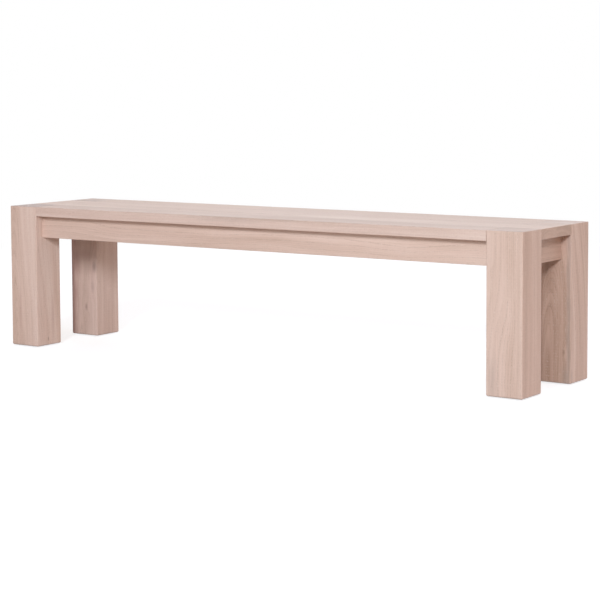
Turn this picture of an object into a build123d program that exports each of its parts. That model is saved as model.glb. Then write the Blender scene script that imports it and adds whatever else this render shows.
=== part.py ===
from build123d import *
import os

# A long fixed bench in pale limed oak. Four square legs run the full height, flush with the
# seat at its corners. The seat is four boards glued edge to edge: the outer two lie between the
# legs, the inner two run past them to the ends. Below it a recessed apron frame is tenoned into
# the legs, stiffened by cross rails and glue blocks, and it holds the seat by wooden buttons.
# Millimetres, +Z up, X along the bench, +Y towards its back, origin on the floor at its centre.

# Whole bench
bench_length = 1850.0
bench_depth = 400.0
leg_length = 450.0

# Legs
leg_side = 110.0
leg_edge_radius = 2.0
foot_chamfer = 3.0

# Seat boards
seat_thickness = 30.0
seat_edge_radius = 2.0
inner_board_count = 2

# Aprons
apron_recess = 30.0
apron_thickness = 28.0
apron_height = 70.0
apron_edge_radius = 1.5

# Tenons of the aprons, and the room that every mortise leaves for glue
tenon_length = 25.0
tenon_thickness = 12.0
tenon_shoulder = 10.0
mortise_clearance = 0.2
mortise_end_gap = 1.0

# Cross rails under the seat
rail_width = 45.0
rail_thickness = 30.0
rail_edge_radius = 1.5
rail_tenon_length = 10.0
rail_tenon_width = 30.0
rail_tenon_thickness = 14.0
rail_place_shares = (-0.25, 0.0, 0.25)

# Glue blocks in the angles between the long aprons and the legs
glue_block_margin = 7.0
glue_block_blunt = 6.0
glue_block_end_gap = 5.0

# Buttons that hold the seat down: a body screwed to the seat and a tongue in the apron's slot
button_width = 30.0
button_body_length = 34.0
button_thickness = 20.0
button_chamfer = 2.0
button_standoff = 2.0
tongue_reach = 8.0
tongue_thickness = 9.0
slot_depth = 10.0
slot_side_play = 5.0
slot_under_play = 1.0
long_button_place_shares = (-0.375, -0.125, 0.125, 0.375)

# Countersunk wood screws with a crossed recess
screw_head_radius = 4.0
screw_head_rim = 0.4
screw_shank_radius = 2.0
screw_tip = 5.0
screw_sink = 0.5
screw_tip_cover = 14.5
screw_clearance = 0.2
recess_length = 4.4
recess_width = 1.0
recess_depth = 1.4

# Nailed foot glides
glide_radius = 15.0
glide_thickness = 3.0
glide_edge_radius = 0.8
nail_head_radius = 3.5
nail_head_thickness = 0.9
nail_head_recess = 1.5
nail_shank_radius = 1.25
nail_tip = 3.0
nail_length = 18.0
nail_clearance = 0.2

# How far a cutting shape starts outside the face that it cuts
cut_overrun = 1.0

# Faces that follow from the sizes above
half_length = bench_length / 2
half_depth = bench_depth / 2
seat_top = glide_thickness + leg_length
seat_underside = seat_top - seat_thickness
apron_bottom = seat_underside - apron_height
rail_bottom = seat_underside - rail_thickness
button_bottom = seat_underside - button_thickness
leg_inner_x = half_length - leg_side
leg_inner_y = half_depth - leg_side
apron_outer_x = half_length - apron_recess
apron_outer_y = half_depth - apron_recess
apron_inner_x = apron_outer_x - apron_thickness
apron_inner_y = apron_outer_y - apron_thickness
clear_length = 2 * leg_inner_x

# Sizes that follow from them
inner_board_width = 2 * leg_inner_y / inner_board_count
glue_block_arm = apron_inner_y - leg_inner_y - glue_block_margin
glue_block_height = apron_height - 2 * glue_block_end_gap
button_screw_length = button_thickness - screw_sink + seat_thickness - screw_tip_cover
rail_screw_length = rail_thickness - screw_sink + seat_thickness - screw_tip_cover
screw_hole_radius = screw_head_radius + screw_clearance


# Shapes that many pieces use


def block(x, y, z):
    """A box that spans a pair of values along each axis, the pair in either order."""
    low = [min(pair) for pair in (x, y, z)]
    high = [max(pair) for pair in (x, y, z)]
    size = [b - a for a, b in zip(low, high)]
    middle = [(a + b) / 2 for a, b in zip(low, high)]
    return Pos(*middle) * Box(*size)


def across(middle, width):
    """The pair of values that lie a width apart around a middle."""
    return middle - width / 2, middle + width / 2


def turned(profile):
    """A solid turned about Z from a closed profile of (radius, height) points."""
    outline = Polyline([(radius, 0, height) for radius, height in profile], close=True)
    return revolve(make_face(outline), Axis.Z)


def cylinder(radius, bottom, top):
    """An upright cylinder on the Z axis between two heights."""
    return turned([(0, bottom), (radius, bottom), (radius, top), (0, top)])


# Places, each named after what stands there


corners = {"front_left": (-1, -1), "front_right": (1, -1), "back_left": (-1, 1), "back_right": (1, 1)}


def glide_place(side_x, side_y):
    """The middle of a leg's foot, on the floor."""
    return Pos(side_x * (half_length - leg_side / 2), side_y * (half_depth - leg_side / 2), 0)


def inner_board_span(number):
    """The pair of Y values that an inner seat board spans, counted from the front."""
    front = -leg_inner_y + number * inner_board_width
    return front, front + inner_board_width


inner_boards = [inner_board_span(number) for number in range(inner_board_count)]
inner_board_middles = [sum(span) / 2 for span in inner_boards]
rail_middles = [share * clear_length for share in rail_place_shares]


def long_button_places(side_y):
    """Places along the front or back apron's inner face, with +Y pointing in under the seat."""
    turn = Rot(0, 0, 0 if side_y < 0 else 180)
    middles = [share * clear_length for share in long_button_place_shares]
    return [Pos(x, side_y * apron_inner_y, button_bottom) * turn for x in middles]


def end_button_places(side_x):
    """Places on the left or right apron's inner face, one under each inner seat board."""
    turn = Rot(0, 0, 90 if side_x > 0 else -90)
    return [Pos(side_x * apron_inner_x, y, button_bottom) * turn for y in inner_board_middles]


button_rows = {
    "front": long_button_places(-1),
    "back": long_button_places(1),
    "left": end_button_places(-1),
    "right": end_button_places(1),
}
button_screw_place = Pos(0, button_standoff + button_body_length / 2, screw_sink)
button_screw_places = [place * button_screw_place for row in button_rows.values() for place in row]

outer_screw_y = (leg_inner_y + apron_inner_y) / 2
rail_screw_ys = [-outer_screw_y, *inner_board_middles, outer_screw_y]
rail_screw_places = [Pos(x, y, rail_bottom + screw_sink) for x in rail_middles for y in rail_screw_ys]


# Screws, which point up from the middle of the head's face, and the nails of the glides


def screw(length):
    body = turned([
        (0, 0),
        (screw_head_radius, 0),
        (screw_head_radius, screw_head_rim),
        (screw_shank_radius, screw_head_rim + screw_head_radius - screw_shank_radius),
        (screw_shank_radius, length - screw_tip),
        (0, length),
    ])
    slot = block(across(0, recess_length), across(0, recess_width), (-cut_overrun, recess_depth))
    return body - slot - Rot(0, 0, 90) * slot


def screw_hole(length):
    """The countersunk hole round a screw, clear of it all over and open below its head."""
    shank_radius = screw_shank_radius + screw_clearance
    return turned([
        (0, -screw_sink - cut_overrun),
        (screw_hole_radius, -screw_sink - cut_overrun),
        (screw_hole_radius, screw_head_rim),
        (shank_radius, screw_head_rim + screw_hole_radius - shank_radius),
        (shank_radius, length + screw_clearance),
        (0, length + screw_clearance),
    ])


def nail():
    """A nail pointing up from the floor, its head against the ceiling of the glide's recess."""
    return turned([
        (0, nail_head_recess - nail_head_thickness),
        (nail_head_radius, nail_head_recess - nail_head_thickness),
        (nail_head_radius, nail_head_recess),
        (nail_shank_radius, nail_head_recess),
        (nail_shank_radius, nail_length - nail_tip),
        (0, nail_length),
    ])


def nail_hole():
    return cylinder(nail_shank_radius + nail_clearance, 0, nail_length + nail_clearance)


# Joints. Each function gives the tenon, or with the mortise's fit the hole that takes it.
# A fit is how far the shape starts outside the shoulder, its side clearance and its end gap.


tenon_fit = (0, 0, 0)
mortise_fit = (cut_overrun, mortise_clearance, mortise_end_gap)


def long_apron_tenon(side_x, side_y, fit):
    start, slack, end_gap = fit
    x = side_x * (leg_inner_x - start), side_x * (leg_inner_x + tenon_length + end_gap)
    y = across(side_y * (apron_outer_y + apron_inner_y) / 2, tenon_thickness + 2 * slack)
    z = apron_bottom + tenon_shoulder - slack, seat_underside - tenon_shoulder + slack
    return block(x, y, z)


def end_apron_tenon(side_x, side_y, fit):
    start, slack, end_gap = fit
    x = across(side_x * (apron_outer_x + apron_inner_x) / 2, tenon_thickness + 2 * slack)
    y = side_y * (leg_inner_y - start), side_y * (leg_inner_y + tenon_length + end_gap)
    z = apron_bottom + tenon_shoulder - slack, seat_underside - tenon_shoulder + slack
    return block(x, y, z)


def rail_tenon(rail_x, side_y, fit):
    start, slack, end_gap = fit
    x = across(rail_x, rail_tenon_width + 2 * slack)
    y = side_y * (apron_inner_y - start), side_y * (apron_inner_y + rail_tenon_length + end_gap)
    z = across(rail_bottom + rail_thickness / 2, rail_tenon_thickness + 2 * slack)
    return block(x, y, z)


def button_slot(place):
    """The slot in an apron for a button's tongue, which bears on its ceiling."""
    x = across(0, button_width + 2 * slot_side_play)
    return place * block(x, (-slot_depth, cut_overrun), (-slot_under_play, tongue_thickness))


# Legs and their glides


def leg(side_x, side_y):
    x = side_x * leg_inner_x, side_x * half_length
    y = side_y * leg_inner_y, side_y * half_depth
    body = block(x, y, (glide_thickness, seat_top))
    body = chamfer(body.edges().group_by(Axis.Z)[0], foot_chamfer)
    upright_edges = body.edges().filter_by(Axis.Z)
    top_edges = body.edges().group_by(Axis.Z)[-1]
    body = fillet(upright_edges + top_edges, leg_edge_radius)
    body -= long_apron_tenon(side_x, side_y, mortise_fit)
    body -= end_apron_tenon(side_x, side_y, mortise_fit)
    return body - glide_place(side_x, side_y) * nail_hole()


def glide():
    disc = cylinder(glide_radius, 0, glide_thickness)
    disc = fillet(disc.edges().group_by(Axis.Z)[0], glide_edge_radius)
    disc -= cylinder(nail_head_radius + nail_clearance, -cut_overrun, nail_head_recess)
    return disc - nail_hole()


# Seat boards


def outer_seat_board(side_y):
    """A board between two legs, its long outer edges eased."""
    span = sorted((side_y * leg_inner_y, side_y * half_depth))
    board = block((-leg_inner_x, leg_inner_x), span, (seat_underside, seat_top))
    rows = board.edges().filter_by(Axis.X).group_by(Axis.Y)
    board = fillet(rows[0] if side_y < 0 else rows[-1], seat_edge_radius)
    return with_screw_holes(board, span)


def inner_seat_board(span):
    """A board that runs the whole length, the edges of its two ends eased."""
    board = block((-half_length, half_length), span, (seat_underside, seat_top))
    board = fillet(board.edges().filter_by(Axis.Y), seat_edge_radius)
    return with_screw_holes(board, span)


def with_screw_holes(board, span):
    """The board with the holes of all the screws that reach it across its span in Y."""
    front, back = span
    holes = [place * screw_hole(button_screw_length) for place in button_screw_places]
    holes += [place * screw_hole(rail_screw_length) for place in rail_screw_places]
    for hole in holes:
        if front - screw_hole_radius < hole.center().Y < back + screw_hole_radius:
            board -= hole
    return board


# Aprons


def long_apron(side_y):
    y = side_y * apron_inner_y, side_y * apron_outer_y
    apron = block((-leg_inner_x, leg_inner_x), y, (apron_bottom, seat_underside))
    apron = fillet(apron.edges().filter_by(Axis.X).group_by(Axis.Z)[0], apron_edge_radius)
    for side_x in (-1, 1):
        apron += long_apron_tenon(side_x, side_y, tenon_fit)
    for rail_x in rail_middles:
        apron -= rail_tenon(rail_x, side_y, mortise_fit)
    for place in long_button_places(side_y):
        apron -= button_slot(place)
    return apron


def end_apron(side_x):
    x = side_x * apron_inner_x, side_x * apron_outer_x
    apron = block(x, (-leg_inner_y, leg_inner_y), (apron_bottom, seat_underside))
    apron = fillet(apron.edges().filter_by(Axis.Y).group_by(Axis.Z)[0], apron_edge_radius)
    for side_y in (-1, 1):
        apron += end_apron_tenon(side_x, side_y, tenon_fit)
    for place in end_button_places(side_x):
        apron -= button_slot(place)
    return apron


# Cross rails, glue blocks and buttons


def cross_rail(rail_x):
    y = -apron_inner_y, apron_inner_y
    rail = block(across(rail_x, rail_width), y, (rail_bottom, seat_underside))
    rail = fillet(rail.edges().filter_by(Axis.Y).group_by(Axis.Z)[0], rail_edge_radius)
    for side_y in (-1, 1):
        rail += rail_tenon(rail_x, side_y, tenon_fit)
    for place in rail_screw_places:
        if place.position.X == rail_x:
            rail -= place * screw_hole(rail_screw_length)
    return rail


def glue_block(side_x, side_y):
    """A corner prism with blunted tips, its square corner in the angle of apron and leg."""
    outline = Polyline(
        (0, 0),
        (glue_block_arm, 0),
        (glue_block_arm, glue_block_blunt),
        (glue_block_blunt, glue_block_arm),
        (0, glue_block_arm),
        close=True,
    )
    prism = extrude(make_face(outline), glue_block_height)
    turns = {(-1, -1): 0, (1, -1): 90, (1, 1): 180, (-1, 1): 270}
    corner = Pos(side_x * leg_inner_x, side_y * apron_inner_y, apron_bottom + glue_block_end_gap)
    return corner * Rot(0, 0, turns[side_x, side_y]) * prism


def button(place):
    width = across(0, button_width)
    body = block(width, (button_standoff, button_standoff + button_body_length), (0, button_thickness))
    far_edge = body.edges().filter_by(Axis.X).group_by(Axis.Y)[-1].group_by(Axis.Z)[0]
    body = chamfer(far_edge, button_chamfer)
    tongue = block(width, (-tongue_reach, button_standoff), (0, tongue_thickness))
    return place * (body + tongue - button_screw_place * screw_hole(button_screw_length))


# All the pieces, by name

pieces = {
    "seat_board_front": outer_seat_board(-1),
    "seat_board_back": outer_seat_board(1),
    "apron_front": long_apron(-1),
    "apron_back": long_apron(1),
    "apron_left": end_apron(-1),
    "apron_right": end_apron(1),
    "button_screws": Compound([place * screw(button_screw_length) for place in button_screw_places]),
    "rail_screws": Compound([place * screw(rail_screw_length) for place in rail_screw_places]),
    "glide_nails": Compound([glide_place(*sides) * nail() for sides in corners.values()]),
}
for number, span in enumerate(inner_boards, 1):
    pieces[f"seat_board_inner_{number}"] = inner_seat_board(span)
for number, rail_x in enumerate(rail_middles, 1):
    pieces[f"cross_rail_{number}"] = cross_rail(rail_x)
for row, places in button_rows.items():
    for number, place in enumerate(places, 1):
        pieces[f"seat_button_{row}_{number}"] = button(place)
for corner, sides in corners.items():
    pieces[f"leg_{corner}"] = leg(*sides)
    pieces[f"glue_block_{corner}"] = glue_block(*sides)
    pieces[f"foot_glide_{corner}"] = glide_place(*sides) * glide()

os.makedirs("parts", exist_ok=True)
for name, piece in pieces.items():
    export_step(piece, f"parts/{name}.step")
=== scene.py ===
"""The limed oak bench: materials, light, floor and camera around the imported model."""

import bpy
from mathutils import Matrix, Vector
from math import cos, pi, sin


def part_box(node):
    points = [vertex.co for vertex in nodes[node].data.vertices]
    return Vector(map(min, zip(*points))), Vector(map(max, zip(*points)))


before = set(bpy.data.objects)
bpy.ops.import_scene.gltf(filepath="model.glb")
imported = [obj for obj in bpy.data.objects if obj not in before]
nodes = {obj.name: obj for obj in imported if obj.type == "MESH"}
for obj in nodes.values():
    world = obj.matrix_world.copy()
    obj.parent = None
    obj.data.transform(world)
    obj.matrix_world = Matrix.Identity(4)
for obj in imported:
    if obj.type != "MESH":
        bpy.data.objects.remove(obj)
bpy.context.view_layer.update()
scene = bpy.context.scene

MM = 0.001
PER_METRE = 1 / MM


# Shader graphs


class Graph:
    """Adds shader nodes to a tree. Every method that makes a node returns an output socket."""

    def __init__(self, tree):
        self.tree = tree

    def node(self, kind, **settings):
        made = self.tree.nodes.new(kind)
        for name, value in settings.items():
            setattr(made, name, value)
        return made

    def feed(self, socket, value):
        if isinstance(value, bpy.types.NodeSocket):
            self.tree.links.new(value, socket)
        else:
            socket.default_value = value

    def math(self, operation, *values):
        made = self.node("ShaderNodeMath", operation=operation)
        for socket, value in zip(made.inputs, values):
            self.feed(socket, value)
        return made.outputs[0]

    def vector(self, operation, *values):
        made = self.node("ShaderNodeVectorMath", operation=operation)
        for socket, value in zip(made.inputs, values):
            self.feed(socket, value)
        return made.outputs["Value" if operation == "LENGTH" else "Vector"]

    def split(self, vector):
        made = self.node("ShaderNodeSeparateXYZ")
        self.feed(made.inputs[0], vector)
        return tuple(made.outputs)

    def join(self, x, y, z):
        made = self.node("ShaderNodeCombineXYZ")
        for socket, value in zip(made.inputs, (x, y, z)):
            self.feed(socket, value)
        return made.outputs[0]

    def millimetres(self):
        """The place on the object in millimetres."""
        metres = self.node("ShaderNodeTexCoord").outputs["Object"]
        return self.vector("MULTIPLY", metres, (PER_METRE,) * 3)

    def scaled(self, place, *shares):
        """Each coordinate times its share."""
        return self.vector("MULTIPLY", place, shares)

    def noise(self, place, detail=2.0, roughness=0.5, output=0):
        made = self.node("ShaderNodeTexNoise")
        self.feed(made.inputs["Vector"], place)
        self.feed(made.inputs["Scale"], 1.0)
        self.feed(made.inputs["Detail"], detail)
        self.feed(made.inputs["Roughness"], roughness)
        return made.outputs[output]

    def centred_noise(self, place, **settings):
        """Noise between about -0.5 and 0.5."""
        return self.math("SUBTRACT", self.noise(place, **settings), 0.5)

    def drift(self, place, detail):
        """Three noises at once, each between about -0.5 and 0.5."""
        return self.vector("SUBTRACT", self.noise(place, detail, output=1), (0.5, 0.5, 0.5))

    def cells(self, place):
        """Distance to the middle of the nearest cell, and that cell's random colour."""
        made = self.node("ShaderNodeTexVoronoi")
        self.feed(made.inputs["Vector"], place)
        self.feed(made.inputs["Scale"], 1.0)
        return made.outputs["Distance"], made.outputs["Color"]

    def random(self, number):
        made = self.node("ShaderNodeTexWhiteNoise", noise_dimensions="1D")
        self.feed(made.inputs["W"], number)
        return made.outputs["Value"]

    def step(self, value, low, high, start=0.0, end=1.0):
        """Start below low, end above high and a smooth change between them."""
        made = self.node("ShaderNodeMapRange", interpolation_type="SMOOTHSTEP")
        for socket, given in zip(made.inputs, (value, low, high, start, end)):
            self.feed(socket, given)
        return made.outputs[0]

    def add_share(self, total, layer, share):
        """Total plus a share of a layer."""
        return self.math("ADD", total, self.math("MULTIPLY", layer, share))

    def mix(self, share, first, second, blend="MIX"):
        made = self.node("ShaderNodeMix", data_type="RGBA", blend_type=blend, clamp_factor=True)
        colours = [socket for socket in made.inputs if socket.type == "RGBA"]
        self.feed(made.inputs[0], share)
        self.feed(colours[0], first)
        self.feed(colours[1], second)
        return next(socket for socket in made.outputs if socket.type == "RGBA")

    def ramp(self, value, stops):
        made = self.node("ShaderNodeValToRGB")
        elements = made.color_ramp.elements
        while len(elements) < len(stops):
            elements.new(0.5)
        for element, (position, colour) in zip(elements, stops):
            element.position = position
            element.color = (*colour, 1.0)
        self.feed(made.inputs[0], value)
        return made.outputs[0]


# Solid oak. Lengths are in millimetres: u runs along the grain, v and w across it.

OAK_INPUTS = {
    "Place": "NodeSocketVector",
    "Pith": "NodeSocketVector",
    "Slope": "NodeSocketVector",
    "Bend": "NodeSocketVector",
    "Ring": "NodeSocketFloat",
    "Figure": "NodeSocketFloat",
    "Tone": "NodeSocketFloat",
    "Heart": "NodeSocketFloat",
    "Seed": "NodeSocketFloat",
    "Deflect": "NodeSocketFloat",
    "Mark": "NodeSocketFloat",
    "Stain And Shade": "NodeSocketFloat",
    "Stain And Shade Colour": "NodeSocketColor",
    "Wear": "NodeSocketFloat",
    "End": "NodeSocketFloat",
    "Cap": "NodeSocketFloat",
}
OAK_OUTPUTS = {
    "Color": "NodeSocketColor",
    "Roughness": "NodeSocketFloat",
    "Height": "NodeSocketFloat",
}

LIMED_COLOURS = (
    (0.0, (0.760, 0.620, 0.545)),
    (0.30, (0.660, 0.490, 0.415)),
    (0.60, (0.520, 0.365, 0.290)),
    (1.0, (0.330, 0.210, 0.150)),
)
PLAIN_COLOURS = (
    (0.0, (0.620, 0.450, 0.290)),
    (0.30, (0.520, 0.350, 0.205)),
    (0.60, (0.400, 0.250, 0.135)),
    (1.0, (0.240, 0.135, 0.065)),
)
LIME = (0.80, 0.73, 0.68, 1.0)
RUBBED_WOOD = (0.50, 0.335, 0.245, 1.0)
DARK_WOOD = (0.20, 0.12, 0.085, 1.0)
GREY_STAIN = (0.27, 0.215, 0.185, 1.0)
# The red stain colour also paints shade on the back left leg
RED_STAIN_AND_SHADE = (0.36, 0.18, 0.145, 1.0)
END_FILM = (0.30, 0.290, 0.335, 1.0)

# Spans of the noises, along and across the grain
BOW_SPAN = (420, 130)
WOBBLE_SPAN = (70, 24)
FIBRE_SPAN = (40, 0.5)
STREAK_SPAN = (170, 2.4)
FILM_SPAN = (260, 45)
PORE_SPAN = (8, 0.55)
RAY_LENGTH = 11
RAY_ANGLE = 0.011
RAY_HEIGHT = 45

# Growth rings
SEED_STEP = 37.7
BEND_LENGTH = 100
BOW_REACH = 26
WOBBLE_REACH = 2.4
UNEVEN_YEARS_LENGTH = 22
UNEVEN_YEARS = 3.0
YEAR_STRENGTH_SPREAD = 0.65
YEAR_STRENGTH_LEAST = 0.35
EARLY_WOOD_STARTS = (0.0, 0.06)
EARLY_WOOD_ENDS = (0.08, 0.55)
BAND_LENGTH = 900
BAND_TURN = 0.5
NARROW_BAND = 9
WIDE_BAND = 34
NARROW_BAND_SHARE = 0.45
WIDE_BAND_SHARE = 0.55
HEART_RIM = (38.0, 66.0)
HEART_CORE = (8.0, 38.0)
HEART_CORE_SHARE = 0.3

# Pores and rays
PORE_SIZE_IN_EARLY_WOOD = 0.34
PORE_SIZE_LEAST = 0.10
PORE_EDGE = 0.08
LIMED_PORES_SHARE = 0.45
RAY_EDGE = (0.14, 0.30)

# Shares of the layers in the wood's depth of colour
BAND_DEPTH = 1.5
EARLY_WOOD_DEPTH = 0.13
STREAK_DEPTH = 0.30
FIBRE_DEPTH = 0.22
FILM_DEPTH = 0.30
WEAR_SHARE = 0.15
RAY_SHARE = 0.14
DARK_PORE_SHARE = 0.42
LIMED_PORE_SHARE = 0.55

# Roughness, and height in millimetres
OAK_ROUGHNESS = 0.38
FILM_ROUGHNESS = 0.16
PORE_ROUGHNESS = 0.12
WEAR_ROUGHNESS = 0.07
CAP_ROUGHNESS = 0.25
PORE_HEIGHT = -0.10
EARLY_WOOD_HEIGHT = -0.05
FIBRE_HEIGHT = 0.06
OAK_BUMP = 0.6


def oak_group(name, colours, lime):
    """Wood grown in rings round a pith, so that each face shows the figure of its own cut.
    Lime is the share of the pores that hold white paste, and how white the film over them is."""
    tree = bpy.data.node_groups.new(name, "ShaderNodeTree")
    for socket_name, kind in OAK_INPUTS.items():
        tree.interface.new_socket(socket_name, in_out="INPUT", socket_type=kind)
    for socket_name, kind in OAK_OUTPUTS.items():
        tree.interface.new_socket(socket_name, in_out="OUTPUT", socket_type=kind)
    g = Graph(tree)
    given = g.node("NodeGroupInput").outputs
    seed = g.math("MULTIPLY", given["Seed"], SEED_STEP)
    place = given["Place"]
    seeded = g.vector("ADD", place, g.join(seed, seed, seed))

    def stretched(span):
        along, across = span
        return g.scaled(seeded, 1 / along, 1 / across, 1 / across)

    # Where the growth rings lie
    u = g.split(place)[0]
    bow = g.drift(stretched(BOW_SPAN), 1.5)
    wobble = g.drift(stretched(WOBBLE_SPAN), 2.0)
    lean = g.vector("MULTIPLY", g.join(u, u, u), given["Slope"])
    curve = g.math("POWER", g.math("ABSOLUTE", g.math("MULTIPLY", u, 1 / BEND_LENGTH)), 2.0)
    lean = g.vector("ADD", lean, g.vector("MULTIPLY", g.join(curve, curve, curve), given["Bend"]))
    across = g.vector("SUBTRACT", place, given["Pith"])
    across = g.vector("SUBTRACT", across, lean)
    across = g.vector("ADD", across, g.scaled(bow, 0, BOW_REACH, BOW_REACH))
    across = g.vector("ADD", across, g.scaled(wobble, 0, WOBBLE_REACH, WOBBLE_REACH))
    across = g.scaled(across, 0, 1, 1)
    radius = g.math("ADD", g.vector("LENGTH", across), given["Deflect"])
    _, v_across, w_across = g.split(across)
    angle = g.math("ARCTAN2", w_across, v_across)

    # Growth rings: a porous line at the start of each year, of its own strength
    uneven_place = g.join(g.math("MULTIPLY", radius, 1 / UNEVEN_YEARS_LENGTH), seed, 0.0)
    uneven = g.noise(uneven_place, detail=1.0)
    year = g.add_share(g.math("DIVIDE", radius, given["Ring"]), uneven, UNEVEN_YEARS)
    number = g.math("FLOOR", year)
    season = g.math("FRACT", year)
    luck = g.random(g.math("ADD", number, seed))
    strength = g.math("MULTIPLY_ADD", luck, YEAR_STRENGTH_SPREAD, YEAR_STRENGTH_LEAST)
    started = g.step(season, *EARLY_WOOD_STARTS)
    ended = g.step(season, *EARLY_WOOD_ENDS, 1.0, 0.0)
    early = g.math("MULTIPLY", g.math("MULTIPLY", started, ended), strength)

    # Bands of years that are darker or paler together
    slow_u = g.math("MULTIPLY", u, 1 / BAND_LENGTH)
    turn = g.math("MULTIPLY", angle, BAND_TURN)

    def band_place(width):
        return g.join(g.math("MULTIPLY", radius, 1 / width), slow_u, g.math("ADD", turn, seed))

    narrow = g.noise(band_place(NARROW_BAND), detail=2.0, roughness=0.6)
    wide = g.noise(band_place(WIDE_BAND), detail=1.0)
    band = g.add_share(g.math("MULTIPLY", narrow, NARROW_BAND_SHARE), wide, WIDE_BAND_SHARE)
    band = g.math("SUBTRACT", band, 0.5)
    rim = g.step(radius, *HEART_RIM, 1.0, 0.0)
    core = g.step(radius, *HEART_CORE, HEART_CORE_SHARE, 0.0)
    heart = g.math("MULTIPLY", g.math("ADD", rim, core), given["Heart"])

    # Fibres, streaks, lime film, pores and rays
    fibre = g.centred_noise(stretched(FIBRE_SPAN))
    streak = g.centred_noise(stretched(STREAK_SPAN), roughness=0.6)
    film = g.centred_noise(stretched(FILM_SPAN), detail=3.0)
    pore_distance, pore_colour = g.cells(stretched(PORE_SPAN))
    pore_size = g.math("MULTIPLY_ADD", early, PORE_SIZE_IN_EARLY_WOOD, PORE_SIZE_LEAST)
    outside = g.step(g.math("SUBTRACT", pore_distance, pore_size), -PORE_EDGE, PORE_EDGE)
    pore = g.math("SUBTRACT", 1.0, outside)
    filled = g.math("GREATER_THAN", g.split(pore_colour)[0], 1.0 - LIMED_PORES_SHARE * lime)
    ray_place = g.join(
        g.math("MULTIPLY", u, 1 / RAY_LENGTH),
        g.math("MULTIPLY", angle, 1 / RAY_ANGLE),
        g.math("MULTIPLY", radius, 1 / RAY_HEIGHT),
    )
    ray_distance, _ = g.cells(ray_place)
    ray = g.step(ray_distance, *RAY_EDGE, 1.0, 0.0)

    # Colour
    depth = g.math("MULTIPLY_ADD", g.math("MULTIPLY", band, given["Figure"]), BAND_DEPTH, given["Tone"])
    depth = g.add_share(depth, early, EARLY_WOOD_DEPTH)
    depth = g.math("ADD", depth, heart)
    depth = g.add_share(depth, streak, STREAK_DEPTH)
    depth = g.add_share(depth, fibre, FIBRE_DEPTH)
    depth = g.math("SUBTRACT", depth, g.math("MULTIPLY", film, FILM_DEPTH * lime))
    depth = g.math("ADD", depth, given["End"])
    colour = g.ramp(depth, colours)
    colour = g.mix(g.math("MULTIPLY", given["Wear"], WEAR_SHARE * lime), colour, RUBBED_WOOD)
    colour = g.mix(g.math("MULTIPLY", ray, RAY_SHARE), colour, DARK_WOOD)
    dark_pore = g.math("MULTIPLY", pore, g.math("SUBTRACT", 1.0, filled))
    limed_pore = g.math("MULTIPLY", pore, filled)
    colour = g.mix(g.math("MULTIPLY", dark_pore, DARK_PORE_SHARE), colour, DARK_WOOD)
    colour = g.mix(g.math("MULTIPLY", limed_pore, LIMED_PORE_SHARE), colour, LIME)
    # Stains in the wood, and on the back left leg a painted shadow
    colour = g.mix(given["Stain And Shade"], colour, given["Stain And Shade Colour"])
    colour = g.mix(given["Mark"], colour, DARK_WOOD)
    colour = g.mix(given["Cap"], colour, END_FILM)

    # Surface
    rough = g.math("MULTIPLY_ADD", film, FILM_ROUGHNESS, OAK_ROUGHNESS)
    rough = g.add_share(rough, pore, PORE_ROUGHNESS)
    rough = g.math("SUBTRACT", rough, g.math("MULTIPLY", given["Wear"], WEAR_ROUGHNESS))
    rough = g.add_share(rough, given["Cap"], CAP_ROUGHNESS)
    height = g.math("MULTIPLY", pore, PORE_HEIGHT)
    height = g.add_share(height, early, EARLY_WOOD_HEIGHT)
    height = g.add_share(height, fibre, FIBRE_HEIGHT)
    outputs = g.node("NodeGroupOutput").inputs
    g.feed(outputs["Color"], colour)
    g.feed(outputs["Roughness"], rough)
    g.feed(outputs["Height"], height)
    return tree


def surface(name):
    """A new material: its graph and its Principled shader."""
    material = bpy.data.materials.new(name)
    material.use_nodes = True
    return material, Graph(material.node_tree), material.node_tree.nodes["Principled BSDF"]


def bumped(g, shader, height, strength):
    """Height in millimetres tilts the shader's normal."""
    bump = g.node("ShaderNodeBump")
    g.feed(bump.inputs["Strength"], strength)
    g.feed(bump.inputs["Distance"], MM)
    g.feed(bump.inputs["Height"], height)
    g.feed(shader.inputs["Normal"], bump.outputs[0])


def dress(node, material):
    """Gives a CAD node its finish."""
    nodes[node].data.materials.clear()
    nodes[node].data.materials.append(material)


GRAIN_ORDER = {"x": (0, 1, 2), "y": (1, 0, 2), "z": (2, 0, 1)}
END_GRAIN_FACING = (0.5, 0.9)

WEAR_PATCH = 23
WEAR_REACH_SPREAD = 6.0
WEAR_REACH_START = -1.2
WEAR_EDGE = (-1.0, 1.5)

KNOT_SLIMNESS = 0.45
KNOT_PUSH = 1.6
KNOT_PUSH_REACH = 4.0
KNOT_EYE_REACH = 1.4

STAIN_AND_SHADE_RAG_LENGTH = 60
STAIN_AND_SHADE_RAG_WIDTH = 6
STAIN_AND_SHADE_RAG = 1.2
STAIN_AND_SHADE_REACH = 1.2


def arris_wear(g, parts, half):
    """1 on the arrises of a box and 0 a few millimetres away.
    The distance to an arris is the middle one of the distances to the box's faces."""
    a, b, c = (
        g.math("SUBTRACT", size, g.math("ABSOLUTE", part)) for size, part in zip(half, parts)
    )
    lesser = g.math("MINIMUM", a, b)
    greater = g.math("MAXIMUM", a, b)
    middle = g.math("MAXIMUM", lesser, g.math("MINIMUM", greater, c))
    patchy = g.noise(g.scaled(g.join(*parts), *(1 / WEAR_PATCH,) * 3), detail=3.0)
    reach = g.math("MULTIPLY_ADD", patchy, WEAR_REACH_SPREAD, WEAR_REACH_START)
    return g.step(g.math("SUBTRACT", middle, reach), *WEAR_EDGE, 1.0, 0.0)


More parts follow.
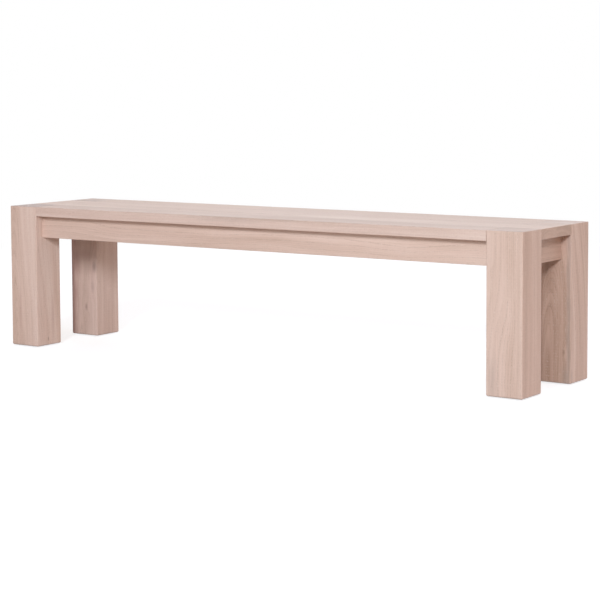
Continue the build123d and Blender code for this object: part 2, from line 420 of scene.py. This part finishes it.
def knots_at(g, place, knots):
    """Small knots at (u, v, w, radius, darkness).
    Returns how far they push the rings aside, and their dark eyes."""
    deflect, mark = 0.0, 0.0
    for u, v, w, radius, darkness in knots:
        off = g.scaled(g.vector("SUBTRACT", place, (u, v, w)), KNOT_SLIMNESS, 1.0, 1.0)
        off = g.math("DIVIDE", g.vector("LENGTH", off), radius)
        push = g.step(off, 0.0, KNOT_PUSH_REACH, radius * KNOT_PUSH, 0.0)
        deflect = g.math("ADD", deflect, push)
        mark = g.math("MAXIMUM", mark, g.step(off, 0.0, KNOT_EYE_REACH, darkness, 0.0))
    return deflect, mark


def stains_and_shade_at(g, place, stains_and_shade):
    """Soft long darker patches at (u, v, w, half length, half width, share): stains in the wood, and on
    the back left leg also a painted shadow.
    """
    stain_and_shade = 0.0
    rag_shares = (1 / STAIN_AND_SHADE_RAG_LENGTH, 1 / STAIN_AND_SHADE_RAG_WIDTH, 1 / STAIN_AND_SHADE_RAG_WIDTH)
    ragged = g.noise(g.scaled(place, *rag_shares), detail=3.0)
    for u, v, w, length, width, share in stains_and_shade:
        off = g.vector("SUBTRACT", place, (u, v, w))
        off = g.vector("LENGTH", g.scaled(off, 1 / length, 1 / width, 1 / width))
        off = g.math("ADD", off, g.math("MULTIPLY_ADD", ragged, STAIN_AND_SHADE_RAG, -STAIN_AND_SHADE_RAG / 2))
        stain_and_shade = g.math("MAXIMUM", stain_and_shade, g.step(off, 0.0, STAIN_AND_SHADE_REACH, share, 0.0))
    return stain_and_shade


def oak(
    name, node, grain, pith, slope, bend=(0, 0),
    ring=3.0, figure=0.62, tone=0.34, heart=0.0, end=0.24, film=0.0, cap=0.0, seed=0,
    knots=(), stains_and_shade=(), stain_and_shade_colour=GREY_STAIN, tree=None,
):
    """Oak for one piece. The pairs say where the pith runs across the grain: its place at the
    middle in mm, its slope in mm per mm, and its bend in mm per 100 mm squared.
    End darkens the end grain. Film and cap are the shares of grey film on the long faces
    and on the end grain."""
    material, g, shader = surface(name)
    low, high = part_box(node)
    middle = (low + high) / 2
    half = (high - low) * (PER_METRE / 2)
    coordinate = g.node("ShaderNodeTexCoord").outputs["Object"]
    centred = g.scaled(g.vector("SUBTRACT", coordinate, tuple(middle)), *(PER_METRE,) * 3)
    parts = g.split(centred)
    order = GRAIN_ORDER[grain]
    place = g.join(*(parts[i] for i in order))
    normal = g.split(g.node("ShaderNodeNewGeometry").outputs["Normal"])
    facing = g.math("ABSOLUTE", normal[order[0]])
    deflect, mark = knots_at(g, place, knots)
    group = g.node("ShaderNodeGroup", node_tree=tree or limed_oak)
    values = {
        "Place": place,
        "Pith": (0.0, *pith),
        "Slope": (0.0, *slope),
        "Bend": (0.0, *bend),
        "Ring": ring,
        "Figure": figure,
        "Tone": tone,
        "Heart": heart,
        "Seed": float(seed),
        "Deflect": deflect,
        "Mark": mark,
        "Stain And Shade": stains_and_shade_at(g, place, stains_and_shade),
        "Stain And Shade Colour": stain_and_shade_colour,
        "Wear": arris_wear(g, parts, half),
        "End": g.step(facing, *END_GRAIN_FACING, 0.0, end),
        "Cap": g.step(facing, *END_GRAIN_FACING, film, cap),
    }
    for key, value in values.items():
        g.feed(group.inputs[key], value)
    g.feed(shader.inputs["Base Color"], group.outputs["Color"])
    g.feed(shader.inputs["Roughness"], group.outputs["Roughness"])
    bumped(g, shader, group.outputs["Height"], OAK_BUMP)
    dress(node, material)


limed_oak = oak_group("limed_oak", LIMED_COLOURS, 1.0)
plain_oak = oak_group("plain_oak", PLAIN_COLOURS, 0.0)


# Seat

oak(
    "oak_board_front", "seat_board_front", "x", (-12, -95), (0.004, 0.012),
    tone=0.30, film=0.06, seed=1,
    stains_and_shade=[(-60, -55, 10, 190, 16, 0.22), (110, -55, 14, 120, 8, 0.16)],
)
oak("oak_board_back", "seat_board_back", "x", (20, -120), (0.006, -0.010), tone=0.37, seed=2)
oak("oak_board_inner_1", "seat_board_inner_1", "x", (8, -80), (-0.005, 0.014), tone=0.28, seed=3)
oak("oak_board_inner_2", "seat_board_inner_2", "x", (-25, -105), (0.004, -0.013), tone=0.36, seed=4)


# Aprons

oak("oak_apron_front", "apron_front", "x", (-140, 60), (0.003, 0.004), seed=5)
oak("oak_apron_back", "apron_back", "x", (150, 30), (0.003, -0.004), seed=6)
oak("oak_apron_left", "apron_left", "y", (-110, 30), (0.003, 0.006), seed=7)
oak("oak_apron_right", "apron_right", "y", (120, 40), (0.004, 0.006), tone=0.45, seed=8)


# Legs

oak(
    "oak_leg_front_left", "leg_front_left", "z", (-36, -84), (-0.03, -0.05),
    tone=0.20, heart=0.20, end=0.18, cap=0.36, seed=9,
    knots=[(-205, 55, -5, 3.5, 0.55)],
    stains_and_shade=[(-115, -17, -56, 120, 8, 0.28), (-130, 56, 17, 95, 9, 0.30)],
    stain_and_shade_colour=RED_STAIN_AND_SHADE,
)
oak(
    "oak_leg_front_right", "leg_front_right", "z", (-60, 140), (0.012, -0.012),
    end=0.06, cap=0.12, seed=10,
    knots=[(-214, 52, -52, 3.0, 0.55)],
    stains_and_shade=[(-175, -36, -56, 80, 20, 0.28)],
)
oak(
    "oak_leg_back_left", "leg_back_left", "z", (-6, -86), (0.05, -0.02),
    figure=0.9, tone=0.33, heart=0.20, end=0.06, film=0.15, cap=0.22, seed=11,
    knots=[(-130, 8, -56, 6.0, 0.6), (-61, 37, -56, 9.0, 0.25), (7, 45, -56, 9.0, 0.55)],
    stains_and_shade=[
        (-20, -62, -52, 600, 42, 0.95),
        (12, -34, -54, 85, 22, 0.65),
        (-30, 38, -54, 95, 13, 0.22),
        # Painted shadow: this patch darkens the front face along the lower edge of the shadow that the
        # front apron casts on it
        (46, -2, -56, 28, 48, 0.30),
    ],
    stain_and_shade_colour=RED_STAIN_AND_SHADE,
)
oak(
    "oak_leg_back_right", "leg_back_right", "z", (-8, -82), (0.05, -0.13), (0, -2.9),
    ring=5.0, figure=1.05, tone=0.42, heart=0.32, end=-0.16, cap=0.14, seed=12,
    knots=[(-136, 34, -56, 4.5, 0.55)],
    stains_and_shade=[(-60, 48, -57, 900, 9, 0.6), (-212, 44, -57, 50, 24, 0.5)],
)


# Hidden frame: the same wood without lime, with a pith of its own for each piece

FRAME_PITH = (40, -60)
FRAME_PITH_STEPS = (11, -9)
FRAME_PITH_CYCLES = (5, 4)
FRAME_SLOPE = (0.006, 0.010)
FRAME_FIGURE = 0.9
FRAME_TONE = 0.36
FRAME_FIRST_SEED = 20


def plain_wood(node, grain, number):
    pith = tuple(
        start + step * (number % cycle)
        for start, step, cycle in zip(FRAME_PITH, FRAME_PITH_STEPS, FRAME_PITH_CYCLES)
    )
    oak(
        f"wood_{node}", node, grain, pith, FRAME_SLOPE,
        figure=FRAME_FIGURE, tone=FRAME_TONE, seed=FRAME_FIRST_SEED + number, tree=plain_oak,
    )


def frame_grain(node):
    """The glue blocks stand, the buttons of the end aprons lie along the bench, the rest across it."""
    if node.startswith("glue_block"):
        return "z"
    if node.startswith(("seat_button_left", "seat_button_right")):
        return "x"
    return "y"


frame_wood_nodes = sorted(
    node for node in nodes if node.startswith(("cross_rail", "seat_button", "glue_block"))
)
for number, node in enumerate(frame_wood_nodes):
    plain_wood(node, frame_grain(node), number)


# Steel fasteners

ZINC_YELLOW = (0.56, 0.55, 0.50, 1.0)
ZINC_BLUE = (0.62, 0.63, 0.66, 1.0)
STEEL_GRIME = (0.20, 0.18, 0.15, 1.0)
BLOOM_SPAN = 3
GRIME_FINENESS = 0.9
GRIME_EDGE = (0.55, 0.75)
GRIME_SHARE = 0.45
STEEL_SCRATCHES = (0.6, 9.0, 0.6)
STEEL_SCRATCH_HEIGHT = 0.03
STEEL_ROUGHNESS = 0.20
GRIME_ROUGHNESS = 0.35
STEEL_BUMP = 0.5


def steel():
    """Zinc-plated steel: a faint yellow and blue bloom, grime and fine scratches."""
    material, g, shader = surface("zinc_steel")
    place = g.millimetres()
    bloom = g.noise(g.scaled(place, *(1 / BLOOM_SPAN,) * 3), detail=3.0)
    colour = g.mix(bloom, ZINC_YELLOW, ZINC_BLUE)
    grime = g.noise(g.scaled(place, *(GRIME_FINENESS,) * 3), detail=4.0, roughness=0.6)
    colour = g.mix(g.step(grime, *GRIME_EDGE, 0.0, GRIME_SHARE), colour, STEEL_GRIME)
    scratch = g.noise(g.scaled(place, *STEEL_SCRATCHES))
    rough = g.math("MULTIPLY_ADD", grime, GRIME_ROUGHNESS, STEEL_ROUGHNESS)
    shader.inputs["Metallic"].default_value = 1.0
    g.feed(shader.inputs["Base Color"], colour)
    g.feed(shader.inputs["Roughness"], rough)
    bumped(g, shader, g.math("MULTIPLY", scratch, STEEL_SCRATCH_HEIGHT), STEEL_BUMP)
    return material


zinc_steel = steel()
for node in ("button_screws", "rail_screws", "glide_nails"):
    dress(node, zinc_steel)


# Nylon glides

NYLON_DARK = (0.68, 0.66, 0.61, 1.0)
NYLON_PALE = (0.76, 0.745, 0.70, 1.0)
NYLON_SCUFFED = (0.34, 0.31, 0.27, 1.0)
CLOUD_SPAN = 6
SCUFFS = (0.15, 2.2, 1.0)
SCUFF_EDGE = (0.52, 0.70)
SCUFF_TOP = (0.2, 1.4)
SCUFF_SHARE = 0.5
SCUFF_HEIGHT = -0.04
SCUFF_ROUGHNESS = 0.2
NYLON_GRAIN_FINENESS = 4.0
NYLON_GRAIN_HEIGHT = 0.02
NYLON_ROUGHNESS = 0.42
NYLON_BUMP = 0.6


def nylon():
    """Off-white moulded nylon, scuffed where it slides on the floor."""
    material, g, shader = surface("white_nylon")
    place = g.millimetres()
    cloud = g.noise(g.scaled(place, *(1 / CLOUD_SPAN,) * 3), detail=3.0)
    colour = g.mix(cloud, NYLON_DARK, NYLON_PALE)
    scuff = g.noise(g.scaled(place, *SCUFFS), detail=3.0, roughness=0.6)
    near_floor = g.step(g.split(place)[2], *SCUFF_TOP, 1.0, 0.0)
    worn = g.math("MULTIPLY", g.step(scuff, *SCUFF_EDGE), near_floor)
    colour = g.mix(g.math("MULTIPLY", worn, SCUFF_SHARE), colour, NYLON_SCUFFED)
    grain = g.noise(g.scaled(place, *(NYLON_GRAIN_FINENESS,) * 3))
    height = g.add_share(g.math("MULTIPLY", grain, NYLON_GRAIN_HEIGHT), worn, SCUFF_HEIGHT)
    g.feed(shader.inputs["Base Color"], colour)
    g.feed(shader.inputs["Roughness"], g.math("MULTIPLY_ADD", worn, SCUFF_ROUGHNESS, NYLON_ROUGHNESS))
    bumped(g, shader, height, NYLON_BUMP)
    return material


white_nylon = nylon()
for node in nodes:
    if node.startswith("foot_glide"):
        dress(node, white_nylon)


# Camera. The vertical shift frames the bench as the photograph does.

CAMERA_PLACE = Vector((3.1483, -4.4739, 0.8791))
CAMERA_YAW = 0.6025
CAMERA_PITCH = 0.0761
CAMERA_ROLL = -0.0050
CAMERA_LENS = 108.71
CAMERA_SENSOR = 36.0
CAMERA_SHIFT = -0.15
CAMERA_FAR = 200.0


def make_camera():
    data = bpy.data.cameras.new("camera")
    data.sensor_width = CAMERA_SENSOR
    data.lens = CAMERA_LENS
    data.shift_y = CAMERA_SHIFT
    data.clip_end = CAMERA_FAR
    camera = bpy.data.objects.new("camera", data)
    forward = Vector((
        -sin(CAMERA_YAW) * cos(CAMERA_PITCH),
        cos(CAMERA_YAW) * cos(CAMERA_PITCH),
        -sin(CAMERA_PITCH),
    ))
    level = Vector((cos(CAMERA_YAW), sin(CAMERA_YAW), 0.0))
    upright = level.cross(forward)
    right = level * cos(CAMERA_ROLL) + upright * sin(CAMERA_ROLL)
    up = upright * cos(CAMERA_ROLL) - level * sin(CAMERA_ROLL)
    turn = Matrix((right, up, -forward)).transposed().to_4x4()
    camera.matrix_world = Matrix.Translation(CAMERA_PLACE) @ turn
    scene.collection.objects.link(camera)
    scene.camera = camera


# Light: a white room, a distant key softbox on the right, a wide one overhead,
# a fill in front and one behind on the left

WHITE = (1.0, 1.0, 1.0, 1.0)
AMBIENT_FRONT = (0.085, 0.070, 0.056, 1.0)
AMBIENT_BACK = (0.665, 0.519, 0.375, 1.0)
AMBIENT_RIGHT = (0.070, 0.0, 0.0, 1.0)
AMBIENT_FADE = 0.7

KEY_COLOUR = (0.965, 1.0, 1.070)
KEY_AZIMUTH = 0.488
KEY_ELEVATION = 0.390
KEY_DISTANCE = 60.0
KEY_SIZE = (5.0, 12.0)
KEY_IRRADIANCE = 1.98
KEY_AIM = (0.0, 0.0, 0.2)

OVERHEAD = {
    "place": (0.75, 0.0, 2.7),
    "aim": (0.1, 0.0, 0.45),
    "size": (2.6, 1.6),
    "power": 20.2,
    "colour": (0.73, 1.0, 1.30),
}
FILL = {
    "place": (1.2, -2.7, 1.2),
    "aim": (0.5, 0.0, 0.3),
    "size": (1.2, 0.9),
    "power": 24.8,
    "colour": (0.79, 1.0, 1.07),
}
BACK = {
    "place": (-3.0, 3.4, 0.9),
    "aim": (0.0, 0.0, 0.3),
    "size": (1.6, 1.2),
    "power": 61.0,
    "colour": (0.92, 1.0, 1.19),
}


def shown(g):
    """1 for rays that show the background itself: camera, mirror and glass rays."""
    rays = g.node("ShaderNodeLightPath").outputs
    seen = g.math("MAXIMUM", rays["Is Camera Ray"], rays["Is Glossy Ray"])
    return g.math("MAXIMUM", seen, rays["Is Transmission Ray"])


def make_world():
    """White to look at, and lit unevenly from front, back and right."""
    world = bpy.data.worlds.new("white_room")
    world.use_nodes = True
    scene.world = world
    g = Graph(world.node_tree)
    background = world.node_tree.nodes["Background"]
    along, away, _ = g.split(g.node("ShaderNodeTexCoord").outputs["Generated"])
    ambient = g.mix(g.step(away, -AMBIENT_FADE, AMBIENT_FADE), AMBIENT_FRONT, AMBIENT_BACK)
    from_right = g.step(along, -AMBIENT_FADE, AMBIENT_FADE)
    ambient = g.mix(from_right, ambient, AMBIENT_RIGHT, blend="ADD")
    g.feed(background.inputs["Color"], g.mix(shown(g), ambient, WHITE))


def make_softbox(name, place, aim, size, power, colour, glare=True):
    data = bpy.data.lights.new(name, "AREA")
    data.shape = "RECTANGLE"
    data.size, data.size_y = size
    data.energy = power
    data.color = colour
    box = bpy.data.objects.new(name, data)
    box.location = place
    box.rotation_euler = (Vector(place) - Vector(aim)).to_track_quat("Z", "Y").to_euler()
    box.visible_glossy = glare
    scene.collection.objects.link(box)


def make_key():
    """A tall softbox so far away that its light is parallel along the whole bench.
    It leaves no glare on the seat when the bench is seen from behind."""
    place = KEY_DISTANCE * Vector((
        sin(KEY_AZIMUTH) * cos(KEY_ELEVATION),
        -cos(KEY_AZIMUTH) * cos(KEY_ELEVATION),
        sin(KEY_ELEVATION),
    ))
    power = KEY_IRRADIANCE * pi * KEY_DISTANCE ** 2
    make_softbox("key", place, KEY_AIM, KEY_SIZE, power, KEY_COLOUR, glare=False)


# Floor

FLOOR_HALF = 20.0
FLOOR_DROP = 0.2 * MM
FLOOR_TINT = (0.95, 1.0, 1.07)
FLOOR_BOUNCE = (0.60, 0.50, 0.44, 1.0)
FLOOR_FADE = (1.6, 4.0)
FLOOR_GREY = 0.45
FLOOR_SHADE = 0.27


def floor_mesh():
    mesh = bpy.data.meshes.new("floor")
    signs = ((-1, -1), (1, -1), (1, 1), (-1, 1))
    corners = [(x * FLOOR_HALF, y * FLOOR_HALF, -FLOOR_DROP) for x, y in signs]
    mesh.from_pydata(corners, [], [(0, 1, 2, 3)])
    return mesh


def make_floor():
    """A pale floor that fades into the white room, and that a camera under it looks through.
    Its light on the bench is warmer than it looks."""
    mesh = floor_mesh()
    floor = bpy.data.objects.new("floor", mesh)
    scene.collection.objects.link(floor)
    material = bpy.data.materials.new("floor_white")
    material.use_nodes = True
    g = Graph(material.node_tree)
    material.node_tree.nodes.remove(material.node_tree.nodes["Principled BSDF"])
    lit = g.node("ShaderNodeBsdfDiffuse")
    g.feed(lit.inputs["Color"], FLOOR_BOUNCE)
    far = g.vector("LENGTH", g.node("ShaderNodeTexCoord").outputs["Object"])
    near = g.step(far, *FLOOR_FADE, 1.0, 0.0)
    pale = g.node("ShaderNodeBsdfDiffuse")
    grey = g.math("MULTIPLY", near, FLOOR_GREY)
    tint = (g.math("MULTIPLY", grey, share) for share in FLOOR_TINT)
    g.feed(pale.inputs["Color"], g.join(*tint))
    glow = g.node("ShaderNodeEmission")
    g.feed(glow.inputs["Strength"], g.math("SUBTRACT", 1.0, g.math("MULTIPLY", near, FLOOR_SHADE)))
    both = g.node("ShaderNodeAddShader")
    g.feed(both.inputs[0], pale.outputs[0])
    g.feed(both.inputs[1], glow.outputs[0])
    mixed = g.node("ShaderNodeMixShader")
    g.feed(mixed.inputs[0], shown(g))
    g.feed(mixed.inputs[1], lit.outputs[0])
    g.feed(mixed.inputs[2], both.outputs[0])
    one_sided = g.node("ShaderNodeMixShader")
    g.feed(one_sided.inputs[0], g.node("ShaderNodeNewGeometry").outputs["Backfacing"])
    g.feed(one_sided.inputs[1], mixed.outputs[0])
    g.feed(one_sided.inputs[2], g.node("ShaderNodeBsdfTransparent").outputs[0])
    g.feed(material.node_tree.nodes["Material Output"].inputs["Surface"], one_sided.outputs[0])
    mesh.materials.append(material)


make_camera()
make_world()
make_key()
make_softbox("overhead", **OVERHEAD)
make_softbox("fill", **FILL, glare=False)
make_softbox("back", **BACK, glare=False)
make_floor()

scene.view_settings.view_transform = "Standard"
